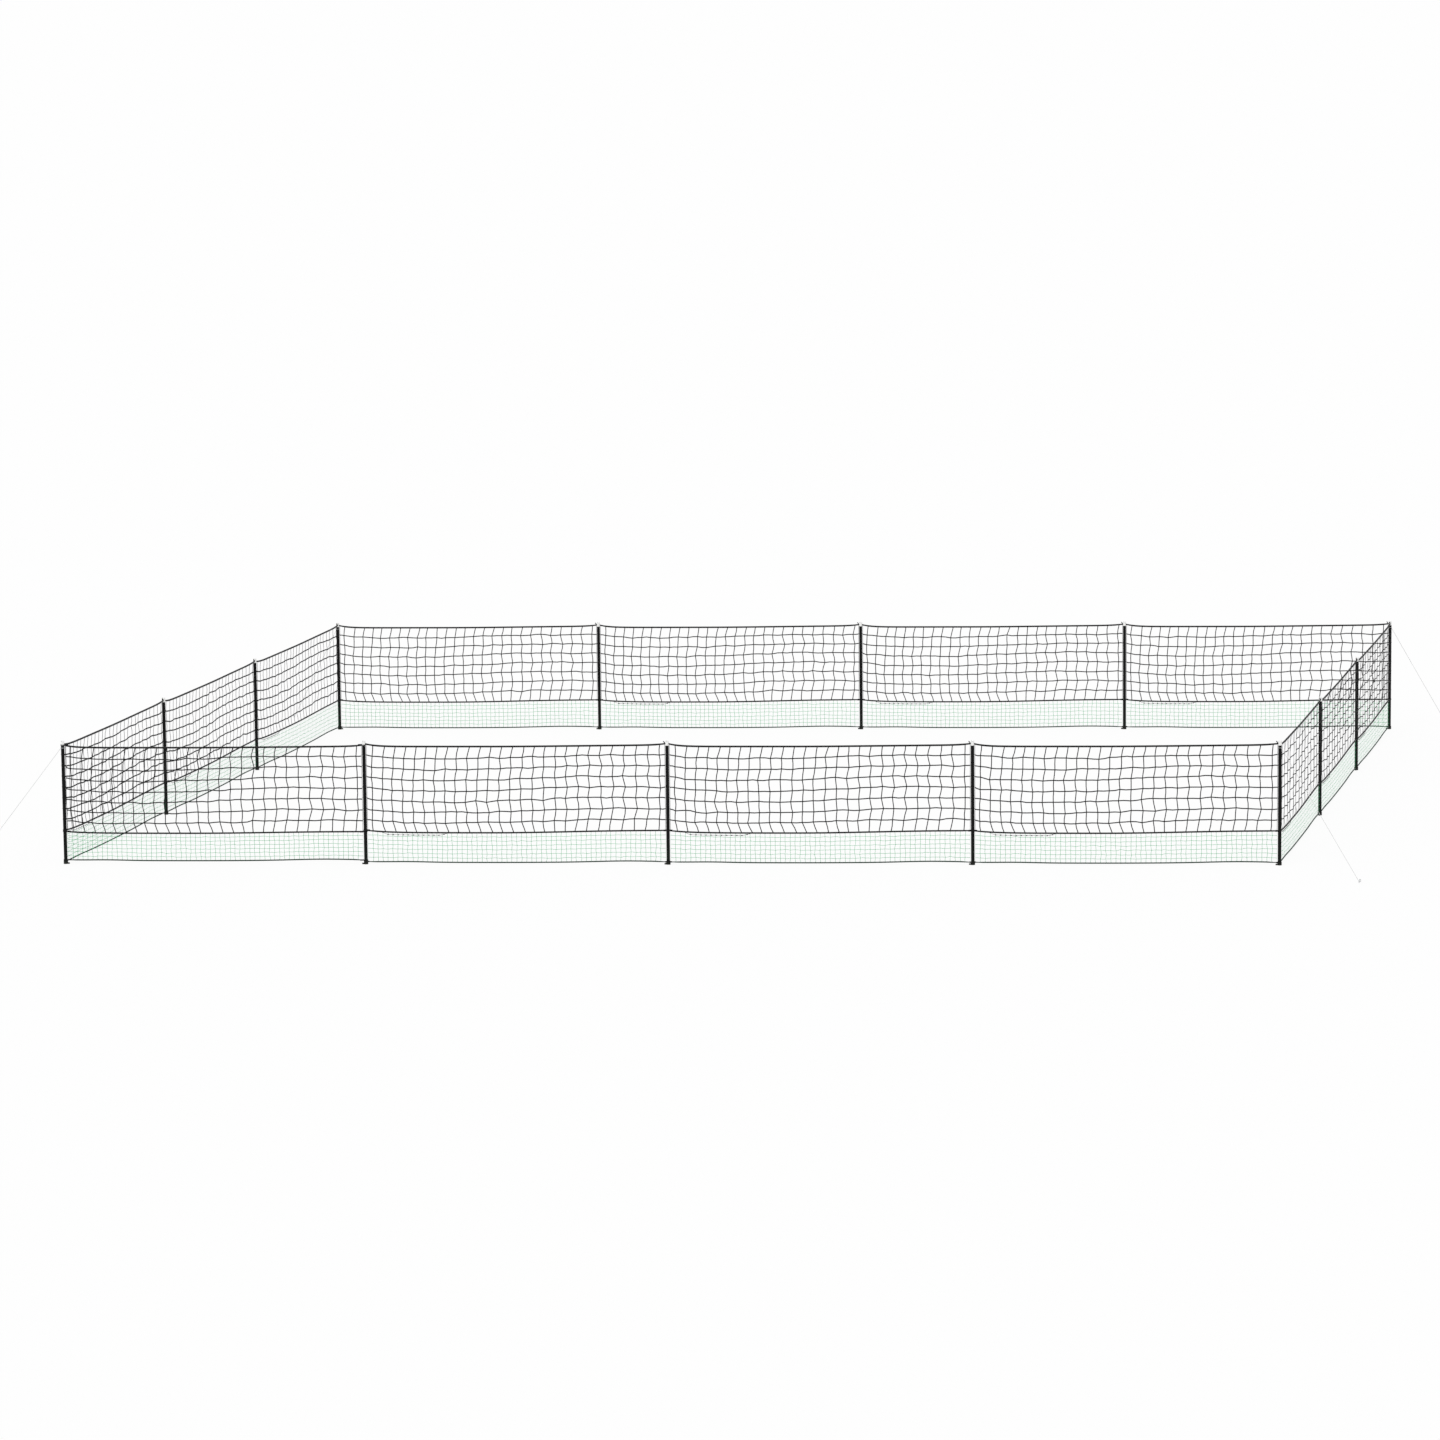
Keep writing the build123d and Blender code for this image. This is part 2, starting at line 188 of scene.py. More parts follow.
# Camera
def camera_pose():
    forward = Vector(
        (
            sin(CAMERA_YAW) * cos(CAMERA_PITCH),
            cos(CAMERA_YAW) * cos(CAMERA_PITCH),
            -sin(CAMERA_PITCH),
        )
    )
    level = forward.cross(Vector((0, 0, 1))).normalized()
    upright = level.cross(forward)
    right = level * cos(CAMERA_ROLL) + upright * sin(CAMERA_ROLL)
    up = upright * cos(CAMERA_ROLL) - level * sin(CAMERA_ROLL)
    pose = Matrix((right, up, -forward)).transposed().to_4x4()
    pose.translation = Vector(CAMERA_PLACE)
    return pose


def link(obj):
    bpy.context.scene.collection.objects.link(obj)
    return obj


lens = bpy.data.cameras.new("camera")
lens.lens = CAMERA_LENS
lens.sensor_width = SENSOR
lens.clip_end = CAMERA_REACH
camera = link(bpy.data.objects.new("camera", lens))
camera.matrix_world = camera_pose()
bpy.context.scene.camera = camera
bpy.context.scene.view_settings.view_transform = "Standard"


# Materials. A noise is given by its scale and detail, and a range by where it starts and where it is full.
# Twine
TWINE_GLOSS = (0.6, 0.2)
FIBRE = (900.0, 2.0)
FADE = (2.2, 4.0)
FADE_RANGE = (0.42, 0.72)
FADE_SHARE = 0.5
FIBRE_SHARE = 0.35
TWINE_ROUGH = (0.5, 0.78)
PLY_DEPTH = 0.0006

# Moulded plastic
PLASTIC_SPECULAR = 0.12
CLOUD = (14.0, 5.0)
CLOUD_RANGE = (0.3, 0.75)
SCUFF = (1.0, 4.0)
SCUFF_STRETCH = (160, 160, 9)
SCUFF_RANGE = (0.58, 0.74)
SCUFF_SHARE = 0.5
GRAIN = (700.0, 2.0)
GRAIN_DEPTH = 0.0002
SMOOTHER = 0.08
ROUGHER = 0.14

# Steel
STEEL_ROUGHNESS = 0.4
STEEL_METAL = 0.9
PATCH = (60.0, 5.0)
PATCH_RANGE = (0.35, 0.7)
MARK = (1.0, 4.0)
MARK_STRETCH = (420, 420, 40)
MARK_DEPTH = 0.0002
BURIED_RANGE = (0.01, -0.08)
RUST = (130.0, 4.0)
RUST_RANGE = (0.5, 0.62)
STEEL_ROUGH = (0.28, 0.6)

# White plastic
CAP_ROUGHNESS = 0.42
CAP_CLOUD = (35.0, 4.0)
CAP_CLOUD_RANGE = (0.3, 0.8)
SPECK = (260.0, 3.0)
SPECK_RANGE = (0.66, 0.8)
SPECK_SHARE = 0.35
CAP_ROUGH = (0.34, 0.52)
CAP_GRAIN = (500.0, 2.0)
CAP_GRAIN_DEPTH = 0.00015

# Share of plain white in what is seen of the floor
FLOOR_PLAIN = 0.9


class Finish:
    """One node material around a Principled shader."""

    def __init__(self, name, roughness, specular=0.5):
        self.material = bpy.data.materials.new(name)
        self.material.use_nodes = True
        self.tree = self.material.node_tree
        self.shader = self.tree.nodes["Principled BSDF"]
        self.shader.inputs["Roughness"].default_value = roughness
        self.shader.inputs["Specular IOR Level"].default_value = specular

    def feed(self, value, socket):
        """Sets a socket to a constant, or links another socket to it."""
        if isinstance(value, bpy.types.NodeSocket):
            self.tree.links.new(value, socket)
        else:
            socket.default_value = value

    def node(self, kind, inputs, **settings):
        made = self.tree.nodes.new(kind)
        for name, value in settings.items():
            setattr(made, name, value)
        for name, value in inputs.items():
            self.feed(value, made.inputs[name])
        return made

    def math(self, operation, a, b=0.0):
        return self.node("ShaderNodeMath", {0: a, 1: b}, operation=operation).outputs[0]

    def place(self):
        return self.node("ShaderNodeTexCoord", {}).outputs["Object"]

    def height(self):
        return self.node("ShaderNodeSeparateXYZ", {0: self.place()}).outputs["Z"]

    def stretched(self, scale):
        made = self.node("ShaderNodeMapping", {"Vector": self.place()})
        made.inputs["Scale"].default_value = scale
        return made.outputs["Vector"]

    def noise(self, scale, detail, vector=None):
        inputs = {"Scale": scale, "Detail": detail, "Vector": vector or self.place()}
        return self.node("ShaderNodeTexNoise", inputs).outputs["Fac"]

    def ramp(self, factor, low, high):
        """0 where the factor is at low or under it, 1 where it is at high or over it."""
        made = self.node("ShaderNodeMapRange", {"Value": factor})
        made.inputs["From Min"].default_value = low
        made.inputs["From Max"].default_value = high
        return made.outputs["Result"]

    def mix(self, factor, a, b):
        made = self.node("ShaderNodeMix", {}, data_type="RGBA")
        self.feed(factor, made.inputs[0])
        self.feed(a, made.inputs[6])
        self.feed(b, made.inputs[7])
        return made.outputs[2]

    def bump(self, height, distance):
        inputs = {"Height": height, "Distance": distance, "Strength": 1.0}
        self.feed(self.node("ShaderNodeBump", inputs).outputs[0], self.shader.inputs["Normal"])

    def colour(self, value):
        self.feed(value, self.shader.inputs["Base Color"])

    def rough(self, factor, low, high):
        made = self.node("ShaderNodeMapRange", {"Value": factor})
        made.inputs["To Min"].default_value = low
        made.inputs["To Max"].default_value = high
        self.feed(made.outputs["Result"], self.shader.inputs["Roughness"])


def rgb(red, green, blue):
    return (red, green, blue, 1.0)


def twine(name, shaded_groove, crest, faded, lay, plies=2.0):
    """Twisted or laid cord, with its plies drawn along the strand's own UV map and painted shade in the
    grooves between them.
    """
    finish = Finish(name, *TWINE_GLOSS)
    along = finish.node("ShaderNodeUVMap", {}, uv_map="strand").outputs["UV"]
    parts = finish.node("ShaderNodeSeparateXYZ", {0: along})
    turn = finish.math("ADD", finish.math("DIVIDE", parts.outputs["X"], lay), parts.outputs["Y"])
    wave = finish.math("SINE", finish.math("MULTIPLY", turn, 2 * pi * plies))
    ply = finish.ramp(wave, -1.0, 1.0)
    fibre = finish.noise(*FIBRE)
    worn = finish.ramp(finish.noise(*FADE), *FADE_RANGE)
    # Painted shade: the grooves between the plies are darker than their crests
    base = finish.mix(ply, shaded_groove, crest)
    base = finish.mix(finish.math("MULTIPLY", worn, FADE_SHARE), base, faded)
    finish.colour(base)
    finish.rough(fibre, *TWINE_ROUGH)
    finish.bump(finish.math("ADD", ply, finish.math("MULTIPLY", fibre, FIBRE_SHARE)), PLY_DEPTH)
    return finish.material


def moulded(name, base, worn, dust_and_reflection, dust_and_reflection_height, roughness):
    """Moulded plastic with scuffs and a low tint: dust on boots and clips, painted green reflection on
    posts.
    """
    finish = Finish(name, roughness, PLASTIC_SPECULAR)
    cloud = finish.noise(*CLOUD)
    scuffs = finish.ramp(finish.noise(*SCUFF, finish.stretched(SCUFF_STRETCH)), *SCUFF_RANGE)
    grain = finish.noise(*GRAIN)
    tone = finish.mix(finish.math("MULTIPLY", scuffs, SCUFF_SHARE), base, worn)
    # Low patches take the tint: dust on the boots and clips, and a painted reflection of the green netting
    # on the posts
    low = finish.ramp(finish.height(), dust_and_reflection_height, 0.0)
    dust_and_reflection_splash = finish.math("MULTIPLY", low, finish.ramp(cloud, *CLOUD_RANGE))
    finish.colour(finish.mix(dust_and_reflection_splash, tone, dust_and_reflection))
    finish.rough(cloud, roughness - SMOOTHER, roughness + ROUGHER)
    finish.bump(finish.math("ADD", grain, scuffs), GRAIN_DEPTH)
    return finish.material


def steel(name, bright, dull, rust):
    """Zinc coated wire with dull patches and a little rust in the ground."""
    finish = Finish(name, STEEL_ROUGHNESS)
    finish.shader.inputs["Metallic"].default_value = STEEL_METAL
    patches = finish.ramp(finish.noise(*PATCH), *PATCH_RANGE)
    marks = finish.noise(*MARK, finish.stretched(MARK_STRETCH))
    buried = finish.ramp(finish.height(), *BURIED_RANGE)
    spots = finish.math("MULTIPLY", buried, finish.ramp(finish.noise(*RUST), *RUST_RANGE))
    finish.colour(finish.mix(spots, finish.mix(patches, bright, dull), rust))
    finish.rough(marks, *STEEL_ROUGH)
    finish.bump(marks, MARK_DEPTH)
    return finish.material


def white_cap(name, clean, greyed, dirt):
    """White moulded plastic, slightly uneven, with a few specks of dirt."""
    finish = Finish(name, CAP_ROUGHNESS)
    cloud = finish.ramp(finish.noise(*CAP_CLOUD), *CAP_CLOUD_RANGE)
    specks = finish.ramp(finish.noise(*SPECK), *SPECK_RANGE)
    tone = finish.mix(cloud, clean, greyed)
    finish.colour(finish.mix(finish.math("MULTIPLY", specks, SPECK_SHARE), tone, dirt))
    finish.rough(cloud, *CAP_ROUGH)
    finish.bump(finish.noise(*CAP_GRAIN), CAP_GRAIN_DEPTH)
    return finish.material


def floor_finish(name):
    """A white floor. What the camera and reflections see of it is mostly plain white, with a soft shadow."""
    finish = Finish(name, 1.0, 0.0)
    finish.colour(rgb(0.96, 0.96, 0.96))
    tree = finish.tree
    plain = finish.node("ShaderNodeEmission", {"Color": rgb(1.0, 1.0, 1.0), "Strength": 1.0})
    path = finish.node("ShaderNodeLightPath", {})
    seen = finish.math("MAXIMUM", path.outputs["Is Camera Ray"], path.outputs["Is Glossy Ray"])
    seen = finish.math("MAXIMUM", seen, path.outputs["Is Transmission Ray"])
    share = finish.math("MULTIPLY", seen, FLOOR_PLAIN)
    mixed = finish.node("ShaderNodeMixShader", {0: share})
    tree.links.new(finish.shader.outputs[0], mixed.inputs[1])
    tree.links.new(plain.outputs[0], mixed.inputs[2])
    tree.links.new(mixed.outputs[0], tree.nodes["Material Output"].inputs["Surface"])
    return finish.material


# The posts' green tint up to the green netting's top is a painted reflection of that netting, not dust
POST_BLACK = moulded(
    "post_black", rgb(0.002, 0.002, 0.002), rgb(0.009, 0.009, 0.009), rgb(0.007, 0.013, 0.008), 0.34, 0.46
)
BOOT_BLACK = moulded(
    "boot_black", rgb(0.005, 0.005, 0.005), rgb(0.02, 0.02, 0.019), rgb(0.03, 0.035, 0.024), 0.05, 0.5
)
CLIP_BLACK = moulded(
    "clip_black", rgb(0.005, 0.005, 0.005), rgb(0.02, 0.02, 0.02), rgb(0.02, 0.022, 0.018), 0.1, 0.46
)
CAP_WHITE = white_cap("cap_white", rgb(0.90, 0.90, 0.89), rgb(0.82, 0.82, 0.80), rgb(0.42, 0.41, 0.38))
SPIKE_STEEL = steel("spike_steel", rgb(0.46, 0.47, 0.48), rgb(0.30, 0.31, 0.32), rgb(0.16, 0.07, 0.03))
PEG_STEEL = steel("peg_steel", rgb(0.52, 0.53, 0.54), rgb(0.34, 0.35, 0.36), rgb(0.18, 0.08, 0.03))
BLACK_TWINE = twine(
    "black_twine", rgb(0.003, 0.003, 0.003), rgb(0.012, 0.012, 0.012), rgb(0.02, 0.02, 0.02), 0.03
)
GREEN_TWINE = twine(
    "green_twine", rgb(0.02, 0.34, 0.12), rgb(0.05, 0.56, 0.21), rgb(0.10, 0.60, 0.28), 0.014
)
BLACK_ROPE = twine(
    "black_rope", rgb(0.003, 0.003, 0.003), rgb(0.012, 0.012, 0.012), rgb(0.02, 0.02, 0.02), 0.055, 3.0
)
BOTTOM_CORD = twine(
    "bottom_cord", rgb(0.006, 0.022, 0.012), rgb(0.015, 0.045, 0.027), rgb(0.03, 0.06, 0.04), 0.036, 3.0
)
GUY_CORD = twine("guy_cord", rgb(0.42, 0.43, 0.43), rgb(0.66, 0.67, 0.67), rgb(0.74, 0.74, 0.72), 0.016)
FLOOR_WHITE = floor_finish("floor_white")


# Meshes of strands and knots
KNOT_POINTS = 12
KNOT_UV = (0.01, 0.5)
GOLDEN = (1 + 5**0.5) / 2
EDGE_SLACK = 1.01


def knot_shape():
    """A low twenty sided ball of unit radius: its points and its triangles."""
    points = []
    for a in (-1, 1):
        for b in (-GOLDEN, GOLDEN):
            points += [(0, a, b), (a, b, 0), (b, 0, a)]
    points = np.array(points) / hypot(1, GOLDEN)
    near = np.linalg.norm(points[:, None] - points[None], axis=2)
    edge = near[near > 0].min() * EDGE_SLACK
    faces = []
    for i in range(KNOT_POINTS):
        for j in range(i + 1, KNOT_POINTS):
            for k in range(j + 1, KNOT_POINTS):
                if max(near[i, j], near[j, k], near[i, k]) < edge:
                    out = np.dot(np.cross(points[j] - points[i], points[k] - points[i]), points[i])
                    faces.append((i, j, k) if out > 0 else (i, k, j))
    return points, faces


KNOT, KNOT_FACES = knot_shape()


class Weave:
    """Collects the strands and knots of one piece, with a UV map that runs along and round each strand."""

    def __init__(self):
        self.points = []
        self.faces = []
        self.uvs = []
        self.count = 0

    def strand(self, line, radius, sides, normal, flat=1.0, closed=False):
        """A strand along a line of points, thinner by the factor flat in the direction normal."""
        line = np.asarray(line, dtype=float)
        size = np.broadcast_to(np.asarray(radius, dtype=float), len(line))[:, None, None]
        if closed:
            ahead = np.roll(line, -1, axis=0) - np.roll(line, 1, axis=0)
        else:
            ahead = np.gradient(line, axis=0)
        ahead /= np.linalg.norm(ahead, axis=1)[:, None]
        normal = np.asarray(normal, dtype=float)
        across = normal - ahead * (ahead @ normal)[:, None]
        across /= np.linalg.norm(across, axis=1)[:, None]
        over = np.cross(ahead, across)
        turn = 2 * pi * np.arange(sides) / sides
        thin = flat * np.cos(turn)[None, :, None] * across[:, None]
        wide = np.sin(turn)[None, :, None] * over[:, None]
        self.points.append((line[:, None] + size * (thin + wide)).reshape(-1, 3))
        steps = np.linalg.norm(np.diff(np.vstack([line, line[:1]]), axis=0), axis=1)
        run = np.concatenate([[0.0], np.cumsum(steps)])
        rings = len(line) if closed else len(line) - 1
        for i in range(rings):
            here = self.count + i * sides
            there = self.count + ((i + 1) % len(line)) * sides
            for k in range(sides):
                after = (k + 1) % sides
                self.faces.append((here + k, here + after, there + after, there + k))
                v = k / sides
                w = (k + 1) / sides
                self.uvs += [run[i], v, run[i], w, run[i + 1], w, run[i + 1], v]
        if not closed:
            first = range(self.count + sides - 1, self.count - 1, -1)
            last_ring = self.count + rings * sides
            last = range(last_ring, last_ring + sides)
            self.faces += [tuple(first), tuple(last)]
            self.uvs += [0.0, 0.0] * sides + [run[rings], 0.0] * sides
        self.count += len(line) * sides

    def knots(self, centres, axes):
        """A knot at each centre. axes are the three half sizes, as vectors."""
        centres = np.asarray(centres, dtype=float).reshape(-1, 3)
        shape = KNOT @ np.asarray(axes, dtype=float)
        self.points.append((centres[:, None] + shape[None]).reshape(-1, 3))
        for i in range(len(centres)):
            start = self.count + i * KNOT_POINTS
            for face in KNOT_FACES:
                self.faces.append(tuple(start + p for p in face))
                for p in face:
                    self.uvs += [KNOT[p][2] * KNOT_UV[0], KNOT[p][0] * KNOT_UV[1]]
        self.count += len(centres) * KNOT_POINTS

    def piece(self, name, material, slot, body, *nodes):
        """Makes the object, which rides on a body and stands for CAD nodes."""
        mesh = bpy.data.meshes.new(name)
        mesh.from_pydata(np.concatenate(self.points).tolist(), [], self.faces)
        mesh.uv_layers.new(name="strand").data.foreach_set("uv", self.uvs)
        mesh.shade_smooth()
        mesh.materials.append(material)
        obj = link(bpy.data.objects.new(name, mesh))
        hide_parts(*nodes)
        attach(obj, body)
        return obj


class Place:
    """Turns a bay's own coordinates (along, out, up) into those of the whole pen."""

    def __init__(self, x, y, turn=0.0):
        self.origin = np.array((x, y, 0.0))
        self.along = np.array((cos(turn), sin(turn), 0.0))
        self.out = np.array((-sin(turn), cos(turn), 0.0))

    def points(self, along, out, up):
        along, out, up = np.broadcast_arrays(along, out, up)
        flat = self.origin + along[..., None] * self.along + out[..., None] * self.out
        return flat + up[..., None] * np.array((0.0, 0.0, 1.0))

    def axes(self, sizes):
        return np.array((self.along * sizes[0], self.out * sizes[1], (0.0, 0.0, sizes[2])))


SIDE_STEPS = [(k * SIDE_STEP[0], k * SIDE_STEP[1]) for k in range(SIDE_BAYS)]
SIDES = {
    "gate": [Place(0.0, 0.0)],
    "front": [Place(k * BAY, 0.0) for k in range(1, FRONT_BAYS)],
    "right": [Place(PEN_WIDTH + x, y, SIDE_TURN) for x, y in SIDE_STEPS],
    "back": [Place(BACK_SHIFT + k * BAY, PEN_DEPTH) for k in range(FRONT_BAYS)],
    "left": [Place(x, y, SIDE_TURN) for x, y in SIDE_STEPS],
}

# The first bays of the front and back rows have no lacing
UNLACED = [(side, SIDES[side][0]) for side in ("gate", "back")]


# Ropes
def smooth(value, low, high):
    """A step from 0 at low to 1 at high with soft ends."""
    t = np.clip((np.asarray(value, dtype=float) - low) / (high - low), 0.0, 1.0)
    return t * t * (3 - 2 * t)


def lift(x):
    """How far a bottom rope stands above its hanging line."""
    free = smooth(x, 0.0, LIFT_ENDS) * smooth(BAY - x, 0.0, LIFT_ENDS)
    return free * sum(high * np.exp(-(((x / BAY - place) / width) ** 2)) for place, width, high in LIFTS)


def hang(rope, x):
    """The height of a rope along a bay: a drop after the first post, a slow rise, then a quicker one."""
    height, drop = rope[:2]
    first, last, rise = SOFT_HANG if height < SOFT_BELOW else TAUT_HANG
    x = np.clip(np.asarray(x, dtype=float), 0.0, BAY)
    shape = (1 - np.exp(-x / first)) * (1 - np.exp((x - BAY) / last))
    low = height - drop * shape * (1 - rise * smooth(x / BAY, *RISE_SPAN))
    return low + lift(x) if height < LIFTED_BELOW else low


def rope_size(rope, x):
    """The rope's radius: slim where it is held at a post, fuller in the bay."""
    slim, full = rope[2:]
    from_post = np.minimum(x, BAY - x)
    return slim + (full - slim) * smooth(from_post, *FULL_AFTER)


def rope_steps(setback):
    return np.linspace(setback, BAY - setback, int((BAY - 2 * setback) / ROPE_STEP) + 1)


def lace(weave, place, rope):
    """The lacing leaves the middle rope, hangs below it for a stretch with knots, and comes back."""
    x = np.linspace(*LACE_SPAN, LACE_STEPS)
    start, stop = LACE_SPAN
    away = smooth(x, start, start + LACE_ENDS[0]) * (1 - smooth(x, stop - LACE_ENDS[1], stop))
    line = place.points(x, 0.0, hang(rope, x) - LACE_DROP * away)
    weave.strand(line, LACE_RADIUS, UPPER_SIDES, place.out)
    weave.knots(line[1:-1:2], place.axes(LACE_KNOT))


def rope_tail(weave, place, rope):
    """The short end of the rope's knot, which stands up beside the cap at the end of a bay."""
    t = np.linspace(0.0, 1.0, len(TAIL_TAPER))
    along = BAY - TUBE_RADIUS - TAIL_START - TAIL_LEAN[0] * t - TAIL_LEAN[1] * t * t
    up = rope[0] + TAIL_RISE * t
    out = TAIL_BOW * np.sin(pi * t)
    size = TAIL_RADIUS * np.array(TAIL_TAPER)
    weave.strand(place.points(along, out, up), size, ROPE_SIDES, place.out)


def make_ropes(side, places, ropes, setbacks):
    body = "gate" if side == "gate" else "fence"
    names = ("top", "mid", "bottom")
    for name, rope, setback in zip(names, ropes, setbacks):
        weave = Weave()
        for place in places:
            x = rope_steps(setback)
            weave.strand(place.points(x, 0.0, hang(rope, x)), rope_size(rope, x), ROPE_SIDES, place.out)
            if name == "top" and side != "gate":
                rope_tail(weave, place, rope)
            if name == "mid" and (side, place) not in UNLACED:
                lace(weave, place, rope)
        black = name != "bottom"
        material = BLACK_ROPE if black else BOTTOM_CORD
        slot = "black_rope" if black else "bottom_rope"
        weave.piece(f"{side}_{name}_cord", material, slot, body, f"{side}_{name}_rope")


# Nets
def upper_lines(end):
    """Places of the upright strands of the black mesh, a little closer together at one end of a bay."""
    t = np.linspace(0.0, 1.0, UPPER_COLUMNS - 1)
    room = BAY - 2 * UPPER_MARGIN
    middle = UPPER_MARGIN + room * (t * (1 - UPPER_SKEW) + t * t * UPPER_SKEW)
    return np.concatenate([[end], middle, [BAY - end]])


def lower_lines(end):
    """Places of the upright strands of the green mesh."""
    return np.linspace(end, BAY - end, LOWER_COLUMNS + 1)


def upper_sway(t, level):
    """How far the knots of the black mesh stand out of their columns, along the bay."""
    first_part = 1 - smooth(t, *FIRST_PART)
    fullness = np.where(level < BELLY_LEVEL, BELLY_BELOW, 1.0)
    belly = BELLY * (level - BELLY_LEVEL) ** 2 * fullness - BELLY_SHIFT
    foot = FOOT_DRAW * (1 - smooth(level, 0.0, FOOT_ROWS / UPPER_ROWS))
    row = np.round(level * UPPER_ROWS)
    zigzag = ZIGZAG * np.where(row % 2 == 0, 1.0, -1.0)
    first_sway = belly + foot + FIRST_ZIGZAG * zigzag
    sway = first_part * first_sway + (1 - first_part) * (zigzag - FOOT_RETURN * foot)
    return sway * smooth(t, *SWAY_ENDS[0]) * (1 - smooth(t, *SWAY_ENDS[1]))


def upper_wave(t, level):
    """How far its rows stand out of level: low in the first half of a bay, high in the second."""
    return -ROW_WAVE * np.sin(2 * pi * t) * np.sqrt(np.sin(pi * np.clip(level, 0.0, 1.0)))


def bowed(place, x, y, z, bow, draws):
    """A strand through the knots, with one more point between each two of them."""
    line = place.points(x, y, z)
    whole = np.empty((2 * len(line) - 1, 3))
    whole[0::2] = line
    whole[1::2] = (line[1:] + line[:-1]) / 2 + draws.normal(0.0, bow, (len(line) - 1, 3))
    return whole


def net_bay(weave, place, x, z, radius, flat, sides, knot, jitter, edge, level, fold, loose, draws):
    """One bay of knotted netting through a grid of places, with every knot a little out of line.

    The strands beside the posts are slimmer by the factor edge, the level ones fuller by the factor level.
    Upright strands stand in and out of the net by turns, by about fold, and the knots by loose more."""
    free = np.ones(x.shape)
    free[0] = 0.0
    free[-1] = 0.0
    inner = free.copy()
    inner[:, 0] = 0.0
    inner[:, -1] = 0.0
    x = x + free * draws.normal(0.0, jitter, x.shape)
    z = z + inner * draws.normal(0.0, jitter, x.shape)
    column = np.arange(x.shape[0])[:, None]
    turn = np.where(column % 2 == 0, 1.0, -1.0)
    folds = fold * turn * (1 + FOLD_CHANGE * np.sin(FOLD_TURN * column))
    y = inner * (folds + draws.normal(0.0, loose, x.shape))
    for i in range(x.shape[0]):
        line = bowed(place, x[i], y[i], z[i], BOW_SHARE * jitter * free[i, 0], draws)
        slim = 1.0 if free[i, 0] else edge
        weave.strand(line, slim * radius, sides, place.out, flat)
    for k in range(1, x.shape[1] - 1):
        line = bowed(place, x[:, k], y[:, k], z[:, k], BOW_SHARE * jitter, draws)
        weave.strand(line, level * radius, sides, place.out, flat)
    knots = place.points(x, y, z)
    weave.knots(knots[1:-1], place.axes(knot))
    weave.knots(knots[[0, -1]], edge * place.axes(knot))


def grid(lines, rows, low, high, sway, wave):
    """The places of the knots between two ropes: how far along the bay, and how high."""
    level = np.linspace(0.0, 1.0, rows + 1)[None]
    t = lines[:, None] / BAY
    x = lines[:, None] + sway(t, level)
    bottom = hang(low, x)
    return x, bottom + (hang(high, x) - bottom) * level + wave(t, level)


def still(t, level):
    """No sway or wave, for the green mesh."""
    return 0.0 * t * level


def make_nets(side, places, ropes, end, seed):
    body = "gate" if side == "gate" else "fence"
    top, mid, bottom = ropes
    upper = Weave()
    lower = Weave()
    drape = UPPER_DRAPES.get(side, UPPER_DRAPE)
    upper_end = end - (1 - UPPER_EDGE) * UPPER_RADIUS
    lower_end = end - (1 - LOWER_EDGE) * LOWER_RADIUS
    upper_grid = grid(upper_lines(upper_end), UPPER_ROWS, mid, top, upper_sway, upper_wave)
    lower_grid = grid(lower_lines(lower_end), LOWER_ROWS, bottom, mid, still, still)
    for number, place in enumerate(places):
        draws = np.random.RandomState(seed + number)
        net_bay(upper, place, *upper_grid, *UPPER_TWINE, *drape, draws)
        net_bay(lower, place, *lower_grid, *LOWER_TWINE, *LOWER_DRAPE, draws)
    upper.piece(f"{side}_upper_netting", BLACK_TWINE, "black_twine", body, f"{side}_upper_net")
    lower.piece(f"{side}_lower_netting", GREEN_TWINE, "green_twine", body, f"{side}_lower_net")


FENCE_ROPES = (TOP_ROPE, MID_ROPE, BOTTOM_ROPE)
GATE_ROPES = (GATE_TOP_ROPE, GATE_MID_ROPE, GATE_BOTTOM_ROPE)
FENCE_SETBACKS = (TOP_SETBACK, MID_SETBACK, BOTTOM_SETBACK)
GATE_SETBACKS = (GATE_SETBACK, GATE_SETBACK, GATE_SETBACK)
for number, (side, places) in enumerate(SIDES.items()):
    moving = side == "gate"
    ropes = GATE_ROPES if moving else FENCE_ROPES
    make_ropes(side, places, ropes, GATE_SETBACKS if moving else FENCE_SETBACKS)
    seed = FIRST_SEED + SIDE_SEEDS * number
    make_nets(side, places, ropes, GATE_NET_END if moving else NET_END, seed)


# Ties that hold the level strands to the posts
UPWARD = (0, 0, 1)


def ring_line(centre, radius, tilt_axis=None, tilt=0.0):
    turn = 2 * pi * np.arange(RING_POINTS) / RING_POINTS
    flat = np.stack([np.cos(turn), np.sin(turn), np.zeros(RING_POINTS)], axis=1) * radius
    if tilt_axis is not None:
        flat = flat @ np.array(Matrix.Rotation(tilt, 3, Vector(tilt_axis)).transposed())
    return np.asarray(centre) + flat


def post_places():
    front = [(k * BAY, 0.0) for k in range(FRONT_BAYS + 1)]
    right = [(PEN_WIDTH + x, y) for x, y in SIDE_STEPS[1:]]
    back = [(BACK_SHIFT + k * BAY, PEN_DEPTH) for k in range(FRONT_BAYS + 1)]
    return front + right + back + SIDE_STEPS[1:]


ties = Weave()
for x, y in post_places():
    for k in range(1, UPPER_ROWS):
        height = MID_ROPE[0] + (TOP_ROPE[0] - MID_ROPE[0]) * k / UPPER_ROWS
        line = ring_line((x, y, height), TUBE_RADIUS + FIT_GAP + TIE_RADIUS)
        ties.strand(line, TIE_RADIUS, TIE_SIDES, UPWARD, closed=True)
ties.piece("post_ties", BLACK_TWINE, "black_twine", "fence", "strand_ties")


# Guy lines
CORNERS = {
    "front_left": (0.0, 0.0),
    "front_right": (PEN_WIDTH, 0.0),
    "back_right": (PEN_WIDTH + BACK_SHIFT, PEN_DEPTH),
    "back_left": (BACK_SHIFT, PEN_DEPTH),
}


